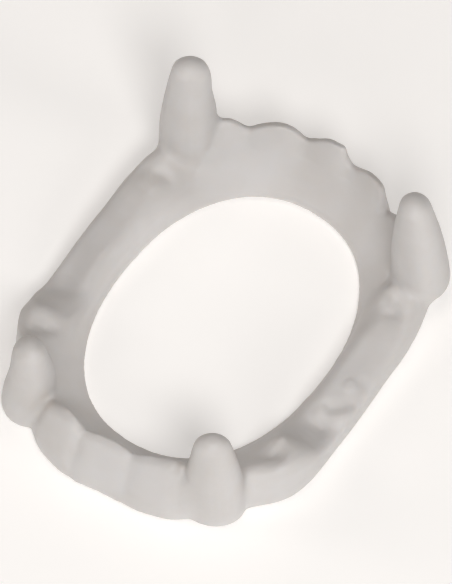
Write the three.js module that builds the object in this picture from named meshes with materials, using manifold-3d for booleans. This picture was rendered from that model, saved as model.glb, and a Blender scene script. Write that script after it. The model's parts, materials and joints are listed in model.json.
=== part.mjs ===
// Novelty false teeth: one soft plastic moulding. An oval band lies flat, with the upper row of teeth
// standing on its far half (+Y) and the lower row on its near half (-Y). Millimetres, +Z up.
import * as THREE from "three";
import { mergeVertices } from "three/addons/utils/BufferGeometryUtils.js";
import ManifoldModule from "manifold-3d";

// A table's rows as objects with the named columns.
function table(columns, rows) {
  return rows.map((row) => Object.fromEntries(columns.map((column, i) => [column, row[i]])));
}

// Opening in the middle of the band: an ellipse, a little squarer than a true one and slightly turned.
const OPENING_HALF_X = 19.6;
const OPENING_HALF_Y = 27.0;
const OPENING_CENTRE_X = -0.2;
const OPENING_CENTRE_Y = -0.1;
const OPENING_POWER = 2.2;
const OPENING_TURN_DEG = -0.7;

// The soft plastic lies a little wider on its -X side, where the lower row stands further out and is lower
// beside the fang: changes to the mirrored sections.
const LEFT_WIDER = 1.004;
const LEFT_CHANGES = {
  "lower corner": { outY: -0.3, crestZ: -1.8, lean: -0.9 },
  "lower side": { outY: -0.6, crestZ: -0.3, lean: -0.2 },
  "lower groove": { outY: -0.8, crestZ: 0.0, lean: 0.0 },
};

// Under the opening's edge the band is bevelled, so that it thins to a lip.
const LIP_Z = 1.7;
const LIP_EDGE = 0.6;
const LIP_ROUND = 0.4;
const UNDER_BEVEL = 1.3;
const LIP_CUT = 0.3;
const FOOT_EDGE = 0.45;
const FOOT_BULGE = 0.5;
const LEAST_DRAFT = 0.05;

// Rounding along the outer brink, in shares of its size: how far out from the brink and how far below it.
const BRINK = [
  { name: "roof end", out: -0.4, drop: 0.0 },
  { name: "turn",     out: 0.2,  drop: 0.22 },
];
const FACE_OUT = 0.55;
const FACE_DROP = 0.8;
const ROOF_MIDDLE = 0.5;
const RISE_FADE = 2.6;
const SWELL_FROM = 0.25;
const SWELL_TO = 0.8;
const TOOTH_STEP = 0.9;
const WEB_STEP = 1.3;
const FRONT_HALF = 21;
const SLOPE_STEPS = 6;
const FACE_STEPS = 3;

// One row for each section of the band, from the middle of the upper row, round the +X side, to the middle
// of the lower row. outX, outY: foot of the outer face. openDeg: place on the opening's edge, from +Y.
// lip: width of the flat lip. crestZ: height of the wall. hollow: shape of the inner slope, above 1 concave,
// below 1 filled. dome: share of that slope that rounds over into the top. roof, fall: width and drop of the
// top beyond the highest line, which ends at the brink. lean: how far the brink stands inside the foot.
// round: size of the rounding along the brink. belly: how far the outer face swells.
const COLUMNS =
  ["outX", "outY", "openDeg", "lip", "crestZ", "hollow", "dome", "roof", "fall", "lean", "round", "belly"];
const SECTIONS = table(
  ["name", ...COLUMNS],
  [
    ["upper middle"  ,  0.0,  35.4,   0, 0.1, 11.2, 1.10, 0.0, 0.5, 0.1, 1.5, 0.5, 0.4],
    ["upper groove"  ,  4.3,  35.1,  10, 0.1,  9.9, 1.10, 0.0, 0.5, 0.1, 1.5, 0.5, 0.4],
    ["upper side"    ,  9.6,  33.5,  22, 0.1,  9.9, 1.10, 0.0, 0.5, 0.1, 1.5, 0.5, 0.4],
    ["upper corner"  , 14.8,  31.2,  34, 0.1,  7.8, 1.15, 0.0, 0.5, 0.1, 1.5, 0.5, 0.4],
    ["upper canine"  , 20.3,  28.7,  45, 0.2,  9.0, 1.05, 0.1, 0.7, 0.1, 1.4, 0.7, 0.3],
    ["upper fang"    , 25.2,  25.0,  54, 0.2,  8.2, 0.80, 0.4, 1.4, 0.2, 1.0, 1.0, 0.2],
    ["upper premolar", 27.2,  19.4,  61, 0.2,  8.0, 0.60, 0.7, 3.0, 0.5, 0.7, 1.3, 0.2],
    ["upper ramp"    , 28.2,  13.4,  68, 0.2,  7.3, 0.60, 0.9, 4.4, 0.7, 0.6, 1.3, 0.1],
    ["upper web"     , 28.4,   6.5,  79, 0.2,  6.5, 0.60, 1.0, 4.7, 0.7, 0.6, 1.3, 0.1],
    ["lower web"     , 28.7,  -2.0,  94, 0.2,  6.1, 0.60, 1.0, 4.7, 0.7, 0.6, 1.3, 0.1],
    ["lower dip"     , 28.7, -10.6, 109, 0.2,  5.9, 0.70, 0.9, 4.0, 0.6, 0.6, 1.3, 0.1],
    ["lower premolar", 28.4, -17.4, 120, 0.2,  8.2, 0.65, 0.7, 3.0, 0.6, 0.8, 1.3, 0.3],
    ["lower heel"    , 27.0, -21.8, 126, 0.2,  8.5, 0.75, 0.5, 2.2, 0.4, 1.2, 1.2, 0.3],
    ["lower notch"   , 23.6, -25.8, 132, 0.2,  8.6, 0.95, 0.3, 1.4, 0.2, 1.8, 1.0, 0.3],
    ["lower fang"    , 19.4, -30.4, 140, 0.1,  9.2, 1.15, 0.1, 0.8, 0.1, 2.6, 0.7, 0.7],
    ["lower corner"  , 14.4, -34.9, 149, 0.1, 10.8, 1.25, 0.0, 0.5, 0.1, 3.9, 0.5, 0.9],
    ["lower side"    ,  9.8, -36.6, 158, 0.1, 10.0, 1.30, 0.0, 0.5, 0.1, 4.0, 0.5, 0.6],
    ["lower groove"  ,  5.3, -37.5, 169, 0.1,  9.6, 1.30, 0.0, 0.5, 0.1, 3.9, 0.5, 0.5],
    ["lower middle"  ,  0.0, -37.7, 180, 0.1,  9.6, 1.30, 0.0, 0.5, 0.1, 3.9, 0.5, 0.5],
  ],
);

// Front teeth. row: 1 upper, -1 lower. x: middle of the tooth. half: half width. rise: height of its edge
// above the grooves. tilt: how much more than that its +X end rises, as a share. bulge: how far its face
// stands out from the grooves. square: above 2 gives a straighter edge.
const FRONT_TEETH = table(
  ["name"                     , "row",   "x", "half", "rise", "tilt", "bulge", "square"],
  [
    ["upper corner tooth, left" ,     1, -17.8,    3.4,    5.0,    0.0,     0.4,      2.2],
    ["upper side tooth, left"   ,     1, -10.9,    5.4,    4.4,   -0.2,     0.6,      2.8],
    ["upper middle tooth"       ,     1,  -1.6,    4.4,    2.3,    0.2,     0.6,      5.0],
    ["upper side tooth, right"  ,     1,   7.9,    4.8,    2.1,    0.8,     0.4,      4.0],
    ["upper corner tooth, right",     1,  17.0,    3.3,    2.4,    0.0,     0.5,      2.4],
    ["lower side tooth, left"   ,    -1, -10.2,    4.6,    2.2,    0.3,     0.8,      2.8],
    ["lower middle tooth"       ,    -1,  -0.4,    5.2,    1.4,    0.0,     0.5,      3.4],
    ["lower side tooth, right"  ,    -1,   9.6,    4.9,    2.2,    0.4,     0.7,      3.0],
  ],
);

// The four fangs. The axis runs from (footX, footY) on the underside to the tip. faceDeg: the way the fang
// faces, from +X. radius: half width at the crown's widest place, which is crownZ up; below it the crown
// turns in to neck. flat: thickness as a share of width. swell: extra half width at mid height.
const FANGS = table(
  ["name", "footX", "footY", "tipX", "tipY", "height", "faceDeg", "radius", "neck", "crownZ", "tip", "flat",
    "swell"],
  [
    ["upper left", -23.4, 24.9, -23.1, 24.4, 31.8, 134, 5.2, 3.0, 5.0, 3.0, 0.90, 0.55],
    ["upper right", 23.7, 24.7, 23.0, 22.9, 31.1, 46, 5.5, 2.6, 6.0, 3.2, 0.90, 0.55],
    ["lower left", -19.5, -29.9, -17.9, -31.0, 22.0, 236, 4.9, 4.9, 2.0, 3.3, 0.89, 0.3],
    ["lower right", 17.7, -29.4, 17.6, -29.9, 22.7, 300, 5.4, 5.1, 2.0, 3.4, 0.78, 0.4],
  ],
);
const FANG_SIDES = 22;
const FANG_RINGS = 6;
const TIP_RINGS = 4;

// Soft mounds (rise above 0) and hollows (below 0) of the premolars behind the fangs and of the band beside
// them. along, across: half sizes. turnDeg: direction of along, from +X.
const MOUNDS = table(
  ["name", "x", "y", "along", "across", "turnDeg", "rise"],
  [
    ["upper right inner cusp",  21.9,  17.6, 1.7, 1.4,  60,  1.8],
    ["upper right ridge"     ,  26.0,  16.8, 3.4, 1.3, 116,  0.8],
    ["upper right pit"       ,  23.9,  14.6, 2.2, 1.5,  20, -0.9],
    ["upper left bump"       , -24.8,  18.8, 2.4, 1.5,  70,  0.6],
    ["upper left pit"        , -23.2,  15.5, 2.4, 1.6,  30, -1.0],
    ["upper left dent"       , -21.2,  20.8, 1.6, 1.2,   0, -0.5],
    ["lower right inner cusp",  22.0, -16.2, 1.8, 1.5,  30,  1.4],
    ["lower right outer cusp",  26.0, -18.6, 3.0, 1.7,  80,  0.7],
    ["lower right pit"       ,  23.0, -19.6, 2.2, 1.3,  20, -1.0],
    ["lower left outer cusp" , -25.8, -18.4, 2.4, 1.8, 100,  0.8],
    ["lower left pit"        , -22.8, -19.6, 2.1, 1.1,  57, -1.5],
    ["right hollow"          ,  25.2,  -9.8, 3.6, 3.2,  90, -1.7],
    ["left hollow"           , -25.8, -10.8, 3.6, 3.2,  90, -1.9],
  ],
);

// The section rows all the way round, the -X side mirrored.
function closedRows() {
  const there = SECTIONS.slice();
  const back = SECTIONS.slice(1, -1).reverse();
  const mirrored = back.map((row) => ({
    ...row,
    outX: -row.outX * LEFT_WIDER,
    outY: row.outY + (LEFT_CHANGES[row.name]?.outY ?? 0),
    openDeg: 360 - row.openDeg,
    crestZ: row.crestZ + (LEFT_CHANGES[row.name]?.crestZ ?? 0),
    lean: row.lean + (LEFT_CHANGES[row.name]?.lean ?? 0),
  }));
  return there.concat(mirrored);
}

function distancesAlong(rows) {
  const at = [0];
  for (let i = 0; i < rows.length; i += 1) {
    const next = rows[(i + 1) % rows.length];
    at.push(at[i] + Math.hypot(next.outX - rows[i].outX, next.outY - rows[i].outY));
  }
  return at;
}

// A row seen from its neighbours: the opening angle keeps growing past the start of the loop.
function rowAt(rows, at, index) {
  const count = rows.length;
  const lap = Math.floor(index / count);
  const inner = index - lap * count;
  const row = rows[inner];
  return { ...row, openDeg: row.openDeg + 360 * lap, at: at[inner] + at[count] * lap };
}

function slopeAt(rows, at, index, column) {
  const before = rowAt(rows, at, index - 1);
  const after = rowAt(rows, at, index + 1);
  return (after[column] - before[column]) / (after.at - before.at);
}

// Value and slope-matched curve through the section rows, by distance along the outer foot.
function sectionBetween(rows, at, index, share) {
  const from = rowAt(rows, at, index);
  const to = rowAt(rows, at, index + 1);
  const length = to.at - from.at;
  const section = {};
  const s2 = share * share;
  const s3 = s2 * share;
  for (const column of COLUMNS) {
    const startSlope = slopeAt(rows, at, index, column) * length;
    const endSlope = slopeAt(rows, at, index + 1, column) * length;
    section[column] = (2 * s3 - 3 * s2 + 1) * from[column] + (s3 - 2 * s2 + share) * startSlope
      + (3 * s2 - 2 * s3) * to[column] + (s3 - s2) * endSlope;
  }
  return section;
}

// Rise and bulge that the front teeth give a section of the wall.
function toothShape(section) {
  let rise = 0;
  let bulge = 0;
  for (const tooth of FRONT_TEETH) {
    const along = (section.outX - tooth.x) / tooth.half;
    const sameRow = Math.sign(section.outY) === tooth.row;
    if (sameRow && Math.abs(along) < 1) {
      const lobe = 1 - Math.pow(Math.abs(along), tooth.square);
      rise = Math.max(rise, tooth.rise * (1 + tooth.tilt * along) * Math.sqrt(lobe));
      bulge = Math.max(bulge, tooth.bulge * lobe);
    }
  }
  return { rise, bulge };
}

// Height that the mounds and hollows add at a place.
function moundHeight(x, y) {
  let height = 0;
  for (const mound of MOUNDS) {
    const turn = THREE.MathUtils.degToRad(mound.turnDeg);
    const along = ((x - mound.x) * Math.cos(turn) + (y - mound.y) * Math.sin(turn)) / mound.along;
    const across = ((y - mound.y) * Math.cos(turn) - (x - mound.x) * Math.sin(turn)) / mound.across;
    height += mound.rise * Math.exp(-along * along - across * across);
  }
  return height;
}

// Closed outline of one section, as distance from the opening's edge, height, and the share of the mounds'
// height that the place takes.
function sectionOutline(section, span) {
  const tooth = toothShape(section);
  const crestZ = section.crestZ + tooth.rise;
  const brinkAt = span - section.lean;
  const crestAt = brinkAt - section.roof;
  const brinkZ = crestZ - section.fall;
  const footAt = span + tooth.bulge * FOOT_BULGE;
  const outline = [];
  outline.push([UNDER_BEVEL, 0, 0]);
  outline.push([0, LIP_Z - LIP_EDGE, 0]);
  outline.push([LIP_ROUND * LIP_CUT, LIP_Z - LIP_ROUND * LIP_CUT, 0]);
  const slopeFrom = section.lip + LIP_ROUND;
  for (let i = 0; i <= SLOPE_STEPS; i += 1) {
    const share = i / SLOPE_STEPS;
    const straight = Math.pow(share, section.hollow);
    const rounded = Math.pow(Math.sin(0.5 * Math.PI * share), section.hollow);
    const slopeZ = (section.crestZ - LIP_Z) * (straight + (rounded - straight) * section.dome);
    const toothZ = tooth.rise * Math.pow(share, RISE_FADE);
    outline.push([slopeFrom + (crestAt - slopeFrom) * share, LIP_Z + slopeZ + toothZ, share > 0 ? 1 : 0]);
  }
  const roofZ = crestZ - section.fall * ROOF_MIDDLE * ROOF_MIDDLE;
  outline.push([crestAt + (section.roof + section.round * BRINK[0].out) * ROOF_MIDDLE, roofZ, 1]);
  for (const part of BRINK) {
    const end = 1 + Math.min(part.out, 0) * section.round / section.roof;
    const z = crestZ - section.fall * end * end - section.round * part.drop;
    outline.push([brinkAt + section.round * part.out, z, 1]);
  }
  const faceTopAt = Math.min(brinkAt + section.round * FACE_OUT, span - LEAST_DRAFT);
  const faceTopZ = brinkZ - section.round * FACE_DROP;
  for (let i = 0; i < FACE_STEPS; i += 1) {
    const share = i / FACE_STEPS;
    const turn = Math.PI * (SWELL_FROM + (SWELL_TO - SWELL_FROM) * share);
    const swell = Math.sin(turn) * (section.belly + tooth.bulge);
    outline.push([faceTopAt + (span - faceTopAt) * share + swell, faceTopZ * (1 - share), 0]);
  }
  outline.push([footAt, FOOT_EDGE, 0]);
  outline.push([footAt - FOOT_EDGE, 0, 0]);
  return outline;
}

// Point of the opening's edge at an angle from +Y.
function openingPoint(degrees) {
  const angle = THREE.MathUtils.degToRad(degrees);
  const turn = THREE.MathUtils.degToRad(OPENING_TURN_DEG);
  const across = Math.sin(angle);
  const along = Math.cos(angle);
  const x = OPENING_HALF_X * Math.sign(across) * Math.pow(Math.abs(across), 2 / OPENING_POWER);
  const y = OPENING_HALF_Y * Math.sign(along) * Math.pow(Math.abs(along), 2 / OPENING_POWER);
  return [
    OPENING_CENTRE_X + x * Math.cos(turn) - y * Math.sin(turn),
    OPENING_CENTRE_Y + x * Math.sin(turn) + y * Math.cos(turn),
  ];
}

// Closed grid of points, rows and columns both joined end to end, as triangles.
function ringGeometry(rings) {
  const positions = [];
  const width = rings[0].length;
  for (const ring of rings) {
    for (const point of ring) {
      positions.push(point[0], point[1], point[2]);
    }
  }
  const index = [];
  for (let i = 0; i < rings.length; i += 1) {
    const next = (i + 1) % rings.length;
    for (let j = 0; j < width; j += 1) {
      const after = (j + 1) % width;
      const a = i * width + j;
      const b = next * width + j;
      const c = next * width + after;
      const d = i * width + after;
      index.push(a, b, c, a, c, d);
    }
  }
  const geometry = new THREE.BufferGeometry();
  geometry.setAttribute("position", new THREE.Float32BufferAttribute(positions, 3));
  geometry.setIndex(index);
  return geometry;
}

function bandGeometry() {
  const rows = closedRows();
  const at = distancesAlong(rows);
  const rings = [];
  for (let i = 0; i < rows.length; i += 1) {
    const inFront = Math.max(Math.abs(rows[i].outX), Math.abs(rows[(i + 1) % rows.length].outX)) < FRONT_HALF;
    const step = inFront ? TOOTH_STEP : WEB_STEP;
    const steps = Math.max(2, Math.round((at[i + 1] - at[i]) / step));
    for (let k = 0; k < steps; k += 1) {
      const section = sectionBetween(rows, at, i, k / steps);
      const [inX, inY] = openingPoint(section.openDeg);
      const span = Math.hypot(section.outX - inX, section.outY - inY);
      const dirX = (section.outX - inX) / span;
      const dirY = (section.outY - inY) / span;
      rings.push(sectionOutline(section, span).map(([out, z, share]) => {
        const x = inX + dirX * out;
        const y = inY + dirY * out;
        return [x, y, z + share * moundHeight(x, y)];
      }));
    }
  }
  return ringGeometry(rings);
}

// A fang: oval sections up a leaning axis, closed by a rounded tip.
function fangGeometry(fang) {
  const profile = [new THREE.Vector2(0, 0), new THREE.Vector2(fang.neck, 0)];
  const tipCentre = fang.height - fang.tip;
  for (let i = 0; i <= FANG_RINGS; i += 1) {
    const share = i / FANG_RINGS;
    const taper = fang.radius + (fang.tip - fang.radius) * share;
    const z = fang.crownZ + (tipCentre - fang.crownZ) * share;
    profile.push(new THREE.Vector2(taper + fang.swell * Math.sin(Math.PI * share), z));
  }
  for (let i = 1; i <= TIP_RINGS; i += 1) {
    const angle = 0.5 * Math.PI * i / TIP_RINGS;
    const radius = i === TIP_RINGS ? 0 : fang.tip * Math.cos(angle);
    profile.push(new THREE.Vector2(radius, tipCentre + fang.tip * Math.sin(angle)));
  }
  const geometry = new THREE.LatheGeometry(profile, FANG_SIDES);
  geometry.rotateX(Math.PI / 2);
  geometry.scale(fang.flat, 1, 1);
  geometry.rotateZ(THREE.MathUtils.degToRad(fang.faceDeg));
  const lean = new THREE.Matrix4().set(
    1, 0, (fang.tipX - fang.footX) / fang.height, fang.footX,
    0, 1, (fang.tipY - fang.footY) / fang.height, fang.footY,
    0, 0, 1, 0,
    0, 0, 0, 1);
  geometry.applyMatrix4(lean);
  return geometry;
}

const wasm = await ManifoldModule();
wasm.setup();
const { Manifold, Mesh } = wasm;

function toSolid(geometry) {
  const bare = geometry.clone();
  for (const attribute of Object.keys(bare.attributes)) {
    if (attribute !== "position") {
      bare.deleteAttribute(attribute);
    }
  }
  const merged = mergeVertices(bare, 1e-4);
  const mesh = new Mesh({
    numProp: 3,
    vertProperties: new Float32Array(merged.attributes.position.array),
    triVerts: new Uint32Array(merged.index.array),
  });
  return new Manifold(mesh);
}

function toGeometry(solid) {
  const mesh = solid.getMesh();
  const geometry = new THREE.BufferGeometry();
  geometry.setAttribute("position", new THREE.Float32BufferAttribute(mesh.vertProperties, 3));
  geometry.setIndex(Array.from(mesh.triVerts));
  return geometry;
}

let moulding = toSolid(bandGeometry());
for (const fang of FANGS) {
  moulding = moulding.add(toSolid(fangGeometry(fang)));
}
const geometry = toGeometry(moulding);
geometry.computeBoundingBox();
const middle = geometry.boundingBox.getCenter(new THREE.Vector3());
geometry.translate(-middle.x, -middle.y, 0);
geometry.computeVertexNormals();

const softPlastic = new THREE.MeshStandardMaterial({
  name: "soft_plastic",
  color: 0xd9d5d0,
  roughness: 0.5,
  metalness: 0,
});
const fangMoulding = new THREE.Mesh(geometry, softPlastic);
fangMoulding.name = "fang_moulding";

const falseTeeth = new THREE.Group();
falseTeeth.name = "false_teeth";
falseTeeth.add(fangMoulding);

export default falseTeeth;
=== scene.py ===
import json
import math

import bmesh
import bpy
import numpy
from mathutils import Matrix, Vector
from mathutils.bvhtree import BVHTree
from mathutils.kdtree import KDTree

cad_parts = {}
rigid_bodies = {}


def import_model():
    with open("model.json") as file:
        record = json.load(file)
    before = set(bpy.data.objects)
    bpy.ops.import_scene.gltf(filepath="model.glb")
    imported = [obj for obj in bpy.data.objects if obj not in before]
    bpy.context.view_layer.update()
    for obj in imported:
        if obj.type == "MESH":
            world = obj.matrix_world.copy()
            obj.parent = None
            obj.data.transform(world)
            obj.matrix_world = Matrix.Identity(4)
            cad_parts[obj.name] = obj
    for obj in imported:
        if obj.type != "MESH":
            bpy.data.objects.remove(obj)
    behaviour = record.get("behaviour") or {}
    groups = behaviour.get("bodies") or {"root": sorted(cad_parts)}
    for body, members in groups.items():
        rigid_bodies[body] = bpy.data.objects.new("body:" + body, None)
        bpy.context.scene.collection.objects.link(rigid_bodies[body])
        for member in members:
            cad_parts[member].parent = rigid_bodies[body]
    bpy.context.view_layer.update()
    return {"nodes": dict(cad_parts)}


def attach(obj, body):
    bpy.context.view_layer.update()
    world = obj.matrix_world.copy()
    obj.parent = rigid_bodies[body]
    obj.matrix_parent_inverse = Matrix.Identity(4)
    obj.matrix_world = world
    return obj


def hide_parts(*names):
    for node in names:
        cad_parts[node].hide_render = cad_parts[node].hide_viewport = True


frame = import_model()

mm = 0.001
white = (1, 1, 1, 1)
scene = bpy.context.scene


def makeActive(piece):
    bpy.ops.object.select_all(action="DESELECT")
    piece.select_set(True)
    bpy.context.view_layer.objects.active = piece


def applyModifier(piece, kind, **values):
    modifier = piece.modifiers.new(kind.title(), kind)
    for name, value in values.items():
        setattr(modifier, name, value)
    makeActive(piece)
    bpy.ops.object.modifier_apply(modifier=modifier.name)


# leaves the piece in edit mode, with only the listed points selected
def selectPoints(piece, indices):
    makeActive(piece)
    bpy.ops.object.mode_set(mode="EDIT")
    bpy.ops.mesh.select_mode(type="VERT")
    bpy.ops.mesh.select_all(action="DESELECT")
    bpy.ops.object.mode_set(mode="OBJECT")
    for index in indices:
        piece.data.vertices[index].select = True
    bpy.ops.object.mode_set(mode="EDIT")


# puts the camera or a lamp in the scene, at a distance from the point that it looks at
def standOff(thing, aim, azimuth, elevation, distance):
    a, e = math.radians(azimuth), math.radians(elevation)
    back = Vector((math.sin(a) * math.cos(e), -math.cos(a) * math.cos(e), math.sin(e)))
    thing.location = aim + back * distance
    thing.rotation_euler = (-back).to_track_quat("-Z", "Y").to_euler()
    scene.collection.objects.link(thing)


# camera at the photograph's angle, with a very long lens
view = {
    "aim": Vector((-2.486, 5.905, 3.856)) * mm,
    "azimuth": 33.44,
    "elevation": 58.74,
    "distance": 3.0,
    "clip": (0.1, 20.0),
    "pixelsPerMetre": 5970.0,
    "longSide": 584,  # pixels
    "sensor": 36.0,
}


def addCamera():
    data = bpy.data.cameras.new("photoCamera")
    data.sensor_width = view["sensor"]
    data.lens = view["pixelsPerMetre"] * view["distance"] * view["sensor"] / view["longSide"]
    data.clip_start, data.clip_end = view["clip"]
    camera = bpy.data.objects.new("photoCamera", data)
    standOff(camera, view["aim"], view["azimuth"], view["elevation"], view["distance"])
    scene.camera = camera


addCamera()
print("camera set")


# the moulding, from a merged copy of the CAD solid
body = {
    "name": "fangMoulding",
    "node": "fang_moulding",
    "merge": 0.002 * mm,
    "voxel": 0.34 * mm,
    "softenSteps": 6,
    "softenShare": 0.5,
}


def addBody():
    mesh = frame["nodes"][body["node"]].data.copy()
    mesh.materials.clear()
    piece = bpy.data.objects.new(body["name"], mesh)
    scene.collection.objects.link(piece)
    makeActive(piece)
    bpy.ops.object.mode_set(mode="EDIT")
    bpy.ops.mesh.select_all(action="SELECT")
    bpy.ops.mesh.remove_doubles(threshold=body["merge"])
    bpy.ops.object.mode_set(mode="OBJECT")
    applyModifier(piece, "REMESH", mode="VOXEL", voxel_size=body["voxel"])
    applyModifier(piece, "SMOOTH", factor=body["softenShare"], iterations=body["softenSteps"])
    return piece


fangs = addBody()
print("body softened:", len(fangs.data.polygons), "faces")


# rounded inner corners where the four fangs grow out of the band
feet = {
    "places": [(-23.3, 26.1), (23.6, 25.7), (-19.3, -28.8), (17.7, -28.3)],  # mm
    "reach": 9.0 * mm,
    "lowest": 3.0 * mm,
    "sharp": math.radians(-7),
    "passes": [(5, 16), (3, 14), (1, 10)],  # rings added round the corner, times smoothed
    "share": 0.5,
}


def innerCorners(piece):
    mesh = bmesh.new()
    mesh.from_mesh(piece.data)
    places = [Vector(place).to_3d() * mm for place in feet["places"]]
    corners = set()
    for edge in mesh.edges:
        if edge.calc_face_angle_signed(0) < feet["sharp"]:
            middle = (edge.verts[0].co + edge.verts[1].co) / 2
            flat = Vector((middle.x, middle.y, 0))
            if middle.z > feet["lowest"] and min((flat - place).length for place in places) < feet["reach"]:
                corners.update(vertex.index for vertex in edge.verts)
    mesh.free()
    return corners


def roundFeet(piece):
    corners = innerCorners(piece)
    for rings, times in feet["passes"]:
        selectPoints(piece, corners)
        for ring in range(rings):
            bpy.ops.mesh.select_more()
        bpy.ops.mesh.vertices_smooth(factor=feet["share"], repeat=times)
        bpy.ops.object.mode_set(mode="OBJECT")
    return len(corners)


print("fang feet rounded:", roundFeet(fangs), "corner points")


# small soft relief: points along each mark, how it moves and how far round it the surface follows
relief = {
    "marks": {
        # name: points (mm), move (mm), spread (mm)
        "webValley": ([(24.9, -4.0, 5.3), (26.1, -3.1, 5.4), (27.3, -2.2, 5.4)], (0, 0, -0.2), 1.9),
        "webFold": ([(24.3, -5.9, 4.9), (25.4, -6.0, 4.9), (26.5, -5.4, 5.0), (27.8, -4.3, 5.0),
                     (28.5, -3.0, 4.9)], (0, 0, 0.36), 1.9),
        "webDent": ([(27.6, 2.6, 5.7)], (-0.05, 0, -0.13), 2.0),
        "rightWebInner": ([(20.6, 9.0, 4.9), (20.6, 3.0, 4.3), (20.6, -4.0, 4.0)], (0, 0, 0.6), 5.0),
        "leftWebOuter": ([(-27.0, 12.0, 6.4), (-27.0, 4.0, 5.6)], (0, 0, 0.4), 4.0),
        "rightWebOuter": ([(26.2, 11.0, 6.7), (26.2, 2.0, 6.0)], (0, 0, 0.25), 3.6),
        "upperRightFill": ([(20.3, 20.0, 6.8)], (0, 0, 0.5), 3.0),
        "upperRightNotch": ([(20.8, 20.1, 7.6)], (-0.1, -0.2, 0.5), 2.2),
        "upperRightCusp": ([(22.2, 18.9, 8.3)], (0, 0, 0.25), 1.8),
        "upperRightDip": ([(22.2, 16.9, 8.0), (23.8, 16.3, 7.4)], (0, 0, -0.35), 1.9),
        "upperLeftFill": ([(-24.6, 15.4, 6.9), (-22.9, 15.6, 6.7)], (0, 0, 0.4), 2.4),
        "upperLeftPit": ([(-23.2, 17.8, 6.8), (-22.5, 18.0, 6.8)], (0, 0, -0.28), 2.0),
        "lowerLeftSlope": ([(-25.6, -10.4, 4.4), (-23.4, -10.4, 4.9)], (0, 0, 0.3), 2.8),
        "lowerLeftEdge": ([(-25.4, -13.4, 7.2), (-23.6, -13.2, 6.9)], (0, 0, -0.5), 3.0),
        "lowerLeftRim": ([(-28.3, -14.8, 6.0)], (0.1, 0, -0.5), 3.2),
        "lowerLeftHollow": ([(-25.6, -5.6, 4.6)], (0, 0, -0.8), 8.0),
        "lowerRightSlope": ([(25.0, -9.8, 4.4), (26.6, -9.6, 4.5)], (0, 0, 0.35), 3.4),
        "lowerRightDip": ([(24.8, -7.6, 4.4)], (0, 0, -0.2), 2.2),
        "lowerRightShoulder": ([(26.0, -14.2, 7.6)], (0, 0, 0.25), 3.0),
        "fangToothFill": ([(14.2, -30.5, 3.0), (14.2, -30.5, 9.0)], (-0.2, -0.7, 0), 2.6),
        "lowerLeftFang": ([(-19.4, -33.4, 11.0), (-15.3, -27.0, 11.0), (-22.6, -31.4, 11.0)],
                          (0.45, 0.3, 0), 9.0),
        "upperToothThree": ([(-2.0, 34.9, 12.9), (1.4, 34.9, 13.2)], (0.2, 0.1, 0.55), 2.2),
        "upperToothThreeEdge": ([(1.9, 34.9, 13.0)], (0.2, 0.1, 0.4), 1.5),
        "upperToothFour": ([(6.8, 33.9, 11.7), (10.2, 32.9, 12.3)], (0.25, 0.15, 0.65), 2.5),
        "upperLeftFangTip": ([(-20.9, 27.1, 28.0)], (0.5, 0.33, 0), 7.0),
        "grooveEndLeft": ([(-16.6, 26.4, 7.65)], (-0.05, 0.15, -0.12), 1.4),
    },
    "spotCentre": (25.6, 0.9, 6.0),  # small raised round spot on the right web, mm
    "spotRadius": 0.6,
    "spotPoints": 10,
    "spotRise": 0.2,
    "spotSpread": 0.85,
    "step": 0.25,  # mm between the points along a mark
    "pick": 0.3,  # mm round such a point in which the mesh is picked
}


def pointsAlong(points):
    placed = [Vector(points[0])]
    for start, end in zip(points, points[1:]):
        a, b = Vector(start), Vector(end)
        count = max(1, round((b - a).length / relief["step"]))
        placed += [a.lerp(b, (i + 1) / count) for i in range(count)]
    return placed


def spotRing():
    centre = Vector(relief["spotCentre"])
    placed = [centre]
    for i in range(relief["spotPoints"]):
        turn = 2 * math.pi * i / relief["spotPoints"]
        placed.append(centre + Vector((math.cos(turn), math.sin(turn), 0)) * relief["spotRadius"])
    return placed


def pressMark(piece, tree, points, move, spread):
    picked = set()
    for point in points:
        found = tree.find_range(point * mm, relief["pick"] * mm) or [tree.find(point * mm)]
        picked.update(index for _, index, _ in found)
    selectPoints(piece, picked)
    bpy.ops.transform.translate(
        value=Vector(move) * mm, use_proportional_edit=True, use_proportional_connected=True,
        proportional_edit_falloff="SMOOTH", proportional_size=spread * mm)
    bpy.ops.object.mode_set(mode="OBJECT")


def pressRelief(piece):
    tree = KDTree(len(piece.data.vertices))
    for vertex in piece.data.vertices:
        tree.insert(vertex.co, vertex.index)
    tree.balance()
    for points, move, spread in relief["marks"].values():
        pressMark(piece, tree, pointsAlong(points), move, spread)
    pressMark(piece, tree, spotRing(), (0, 0, relief["spotRise"]), relief["spotSpread"])


pressRelief(fangs)
print("relief pressed")


# zones smoothed again: the wall inside the upper teeth, below their grooves, and the lower left slope
calm = {
    "zones": {
        # name: lowest and highest corner (mm), direction faced, least share of it, times smoothed
        "upperWall": ((-19.0, 17.0, 2.2), (19.0, 37.0, 8.5), (0, -1, 0), 0.25, 160),
        "lowerLeftSlope": ((-28.6, -14.2, 2.6), (-21.0, -6.0, 8.0), (0, 0, 1), 0.4, 50),
    },
    "share": 0.5,
}


def calmZone(piece, lowest, highest, direction, least, times):
    faced = Vector(direction)
    picked = []
    for vertex in piece.data.vertices:
        inside = all(low * mm < place < high * mm for low, place, high in zip(lowest, vertex.co, highest))
        if inside and vertex.normal.dot(faced) > least:
            picked.append(vertex.index)
    selectPoints(piece, picked)
    bpy.ops.mesh.vertices_smooth(factor=calm["share"], repeat=times)
    bpy.ops.object.mode_set(mode="OBJECT")


for zoneName, zone in calm["zones"].items():
    calmZone(fangs, *zone)
    print("calmed:", zoneName)


# slight unevenness of the moulded skin
skin = {
    "size": 7.0 * mm,
    "depth": 0.16 * mm,
    "finerSteps": 2,
    "middle": 0.5,
    "softenSteps": 2,
    "softenShare": 0.5,
}


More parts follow.
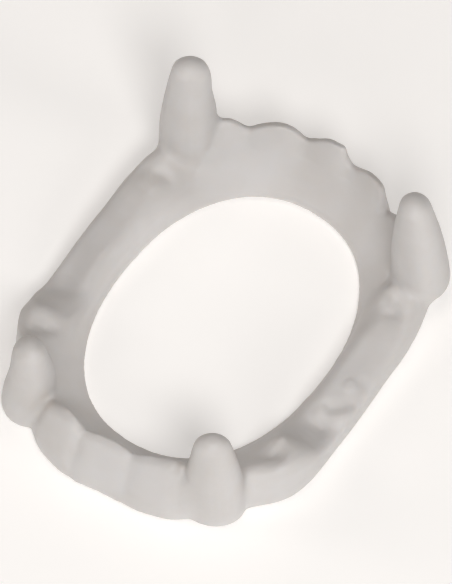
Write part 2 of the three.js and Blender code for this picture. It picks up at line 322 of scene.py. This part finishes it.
def unevenSurface(piece):
    texture = bpy.data.textures.new("mouldUnevenness", "CLOUDS")
    texture.noise_scale = skin["size"]
    texture.noise_depth = skin["finerSteps"]
    applyModifier(piece, "DISPLACE", texture=texture, texture_coords="LOCAL",
                  strength=skin["depth"], mid_level=skin["middle"])
    applyModifier(piece, "SMOOTH", factor=skin["softenShare"], iterations=skin["softenSteps"])
    bpy.ops.object.shade_smooth()


unevenSurface(fangs)
print("surface finished:", len(fangs.data.vertices), "points")


# how open each point is to its surroundings (ray-cast occlusion), kept on the mesh to place painted shade
# in creases and hollows
shelter = {
    "attribute": "openness",
    "reach": 9.0 * mm,
    "lift": 0.05 * mm,
    "rings": [(20, 5), (45, 8), (68, 9)],  # degrees from the surface's normal, rays at that angle
    "evenTimes": 14,
}


def shelterRays():
    rays = []
    for lean, count in shelter["rings"]:
        tilt = Matrix.Rotation(math.radians(lean), 3, "Y")
        weight = math.cos(math.radians(lean))
        for i in range(count):
            turn = Matrix.Rotation(2 * math.pi * i / count, 3, "Z")
            rays.append((turn @ tilt @ Vector((0, 0, 1)), weight))
    return rays


def evened(mesh, values):
    ends = numpy.zeros(2 * len(mesh.edges), dtype=int)
    mesh.edges.foreach_get("vertices", ends)
    one, other = ends[0::2], ends[1::2]
    count = len(values)
    neighbours = numpy.bincount(ends, minlength=count)
    for i in range(shelter["evenTimes"]):
        around = numpy.bincount(one, values[other], count) + numpy.bincount(other, values[one], count)
        values = (values + around / neighbours) / 2
    return values


def measureOpenness(piece):
    mesh = piece.data
    tree = BVHTree.FromPolygons([v.co for v in mesh.vertices], [p.vertices for p in mesh.polygons])
    rays = shelterRays()
    whole = sum(weight for ray, weight in rays)
    openness = []
    for vertex in mesh.vertices:
        upright = vertex.normal.to_track_quat("Z", "Y")
        start = vertex.co + vertex.normal * shelter["lift"]
        free = 0.0
        for ray, weight in rays:
            distance = tree.ray_cast(start, upright @ ray, shelter["reach"])[3]
            free += weight if distance is None else weight * distance / shelter["reach"]
        openness.append(free / whole)
    tones = numpy.ones((len(openness), 4))
    tones[:, :3] = evened(mesh, numpy.array(openness))[:, None]
    attribute = mesh.color_attributes.new(shelter["attribute"], "FLOAT_COLOR", "POINT")
    attribute.data.foreach_set("color", tones.ravel())


measureOpenness(fangs)
print("openness measured")


# soft plastic, off-white, with painted shade: browner in creases and hollows
plastic = {
    "pale": (0.655, 0.638, 0.63, 1),
    "paleFrom": 0.7,  # mottle at which the pale tone is full
    "warm": (0.61, 0.585, 0.565, 1),
    "warmTo": 0.3,
    # painted shade: the brown that sheltered creases and hollows get in place of their shade
    "paintedShade": (0.47, 0.415, 0.365, 1),
    "paintedShadeFrom": 0.38,  # openness at which the painted shade is full
    "paintedShadeTo": 1.0,
    "mottleScale": 90.0,
    "mottleDetail": 4.0,
    "sheenScale": 900.0,
    "sheenDetail": 2.0,
    "roughLow": 0.42,
    "roughHigh": 0.56,
    "grainScale": 1700.0,
    "grainDetail": 3.0,
    "grainStrength": 0.35,
    "grainHeight": 0.02 * mm,
    "subsurface": 0.3,
    "subsurfaceDepth": 1.2 * mm,
    "subsurfaceRadius": (1.0, 0.8, 0.65),
    "ior": 1.46,
}


def softPlastic():
    material = bpy.data.materials.new("softPlastic")
    material.use_nodes = True
    nodes, links = material.node_tree.nodes, material.node_tree.links
    shader = nodes["Principled BSDF"]
    place = nodes.new("ShaderNodeTexCoord")

    def addNoise(name):
        noise = nodes.new("ShaderNodeTexNoise")
        noise.inputs["Scale"].default_value = plastic[name + "Scale"]
        noise.inputs["Detail"].default_value = plastic[name + "Detail"]
        links.new(place.outputs["Object"], noise.inputs["Vector"])
        return noise.outputs["Fac"]

    # colour: mottled off-white, blended into painted shade, a brown tone, where the surface is sheltered
    tone = nodes.new("ShaderNodeValToRGB")
    warmStop, paleStop = tone.color_ramp.elements
    warmStop.position = plastic["warmTo"]
    warmStop.color = plastic["warm"]
    paleStop.position = plastic["paleFrom"]
    paleStop.color = plastic["pale"]
    links.new(addNoise("mottle"), tone.inputs["Fac"])
    openness = nodes.new("ShaderNodeAttribute")
    openness.attribute_name = shelter["attribute"]
    # how much painted shade each point gets, from its openness
    paintedShadeShare = nodes.new("ShaderNodeMapRange")
    paintedShadeShare.interpolation_type = "SMOOTHSTEP"
    paintedShadeShare.inputs["From Min"].default_value = plastic["paintedShadeFrom"]
    paintedShadeShare.inputs["From Max"].default_value = plastic["paintedShadeTo"]
    links.new(openness.outputs["Fac"], paintedShadeShare.inputs["Value"])
    blend = nodes.new("ShaderNodeMix")
    blend.data_type = "RGBA"
    blend.inputs["A"].default_value = plastic["paintedShade"]
    links.new(paintedShadeShare.outputs["Result"], blend.inputs["Factor"])
    links.new(tone.outputs["Color"], blend.inputs["B"])
    links.new(blend.outputs["Result"], shader.inputs["Base Color"])

    # sheen that changes a little from place to place, and fine grain
    rough = nodes.new("ShaderNodeMapRange")
    rough.inputs["To Min"].default_value = plastic["roughLow"]
    rough.inputs["To Max"].default_value = plastic["roughHigh"]
    links.new(addNoise("sheen"), rough.inputs["Value"])
    links.new(rough.outputs["Result"], shader.inputs["Roughness"])
    bump = nodes.new("ShaderNodeBump")
    bump.inputs["Strength"].default_value = plastic["grainStrength"]
    bump.inputs["Distance"].default_value = plastic["grainHeight"]
    links.new(addNoise("grain"), bump.inputs["Height"])
    links.new(bump.outputs["Normal"], shader.inputs["Normal"])
    shader.inputs["Subsurface Weight"].default_value = plastic["subsurface"]
    shader.inputs["Subsurface Scale"].default_value = plastic["subsurfaceDepth"]
    shader.inputs["Subsurface Radius"].default_value = plastic["subsurfaceRadius"]
    shader.inputs["IOR"].default_value = plastic["ior"]
    return material


fangs.data.materials.append(softPlastic())
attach(fangs, "root")
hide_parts(body["node"])
print("plastic applied")


# pale floor, soft studio light and a pale backdrop
studio = {
    "floorSize": 12.0,
    "floorColor": (0.8, 0.775, 0.75, 1),
    "floorRoughness": 0.9,
    "floorGlow": 0.32,
    "backdropGlow": 0.9,
    "lampDistance": 1.0,
    "warmLoss": (0.0, 0.06, 0.11),  # share of red, green and blue that a lamp of full warmth lacks
    "lamps": {
        # name: azimuth, elevation, size, watts, warmth
        "keyLamp": (46.0, 48.0, 0.35, 4.2, 0.0),
        "frontLamp": (16.0, 22.0, 0.35, 1.7, 0.0),
        "leftLamp": (298.0, 30.0, 0.4, 1.5, 0.8),
        "rightLamp": (95.0, 24.0, 0.4, 1.8, 0.4),
        "backLamp": (225.0, 15.0, 0.4, 0.7, 1.0),
        "topLamp": (0.0, 90.0, 0.5, 2.35, 1.0),
    },
}


def addFloor():
    bpy.ops.object.select_all(action="DESELECT")
    bpy.ops.mesh.primitive_plane_add(size=studio["floorSize"], location=(0, 0, 0))
    floor = bpy.context.object
    floor.name = "studioFloor"
    material = bpy.data.materials.new("studioFloor")
    material.use_nodes = True
    shader = material.node_tree.nodes["Principled BSDF"]
    shader.inputs["Base Color"].default_value = studio["floorColor"]
    shader.inputs["Roughness"].default_value = studio["floorRoughness"]
    shader.inputs["Emission Color"].default_value = white
    shader.inputs["Emission Strength"].default_value = studio["floorGlow"]
    floor.data.materials.append(material)


def addLamps():
    for name, (azimuth, elevation, size, watts, warmth) in studio["lamps"].items():
        data = bpy.data.lights.new(name, "AREA")
        data.shape = "DISK"
        data.size = size
        data.energy = watts
        data.color = [1 - warmth * loss for loss in studio["warmLoss"]]
        lamp = bpy.data.objects.new(name, data)
        lamp.visible_camera = False
        standOff(lamp, Vector((0, 0, 0)), azimuth, elevation, studio["lampDistance"])


def addBackdrop():
    world = bpy.data.worlds.new("studioWorld")
    world.use_nodes = True
    background = world.node_tree.nodes["Background"]
    background.inputs["Color"].default_value = white
    background.inputs["Strength"].default_value = studio["backdropGlow"]
    for ray in ("diffuse", "glossy", "transmission", "scatter"):  # it throws no light on the part
        setattr(world.cycles_visibility, ray, False)
    scene.world = world


addFloor()
addLamps()
addBackdrop()
scene.view_settings.view_transform = "Standard"
print("studio set")
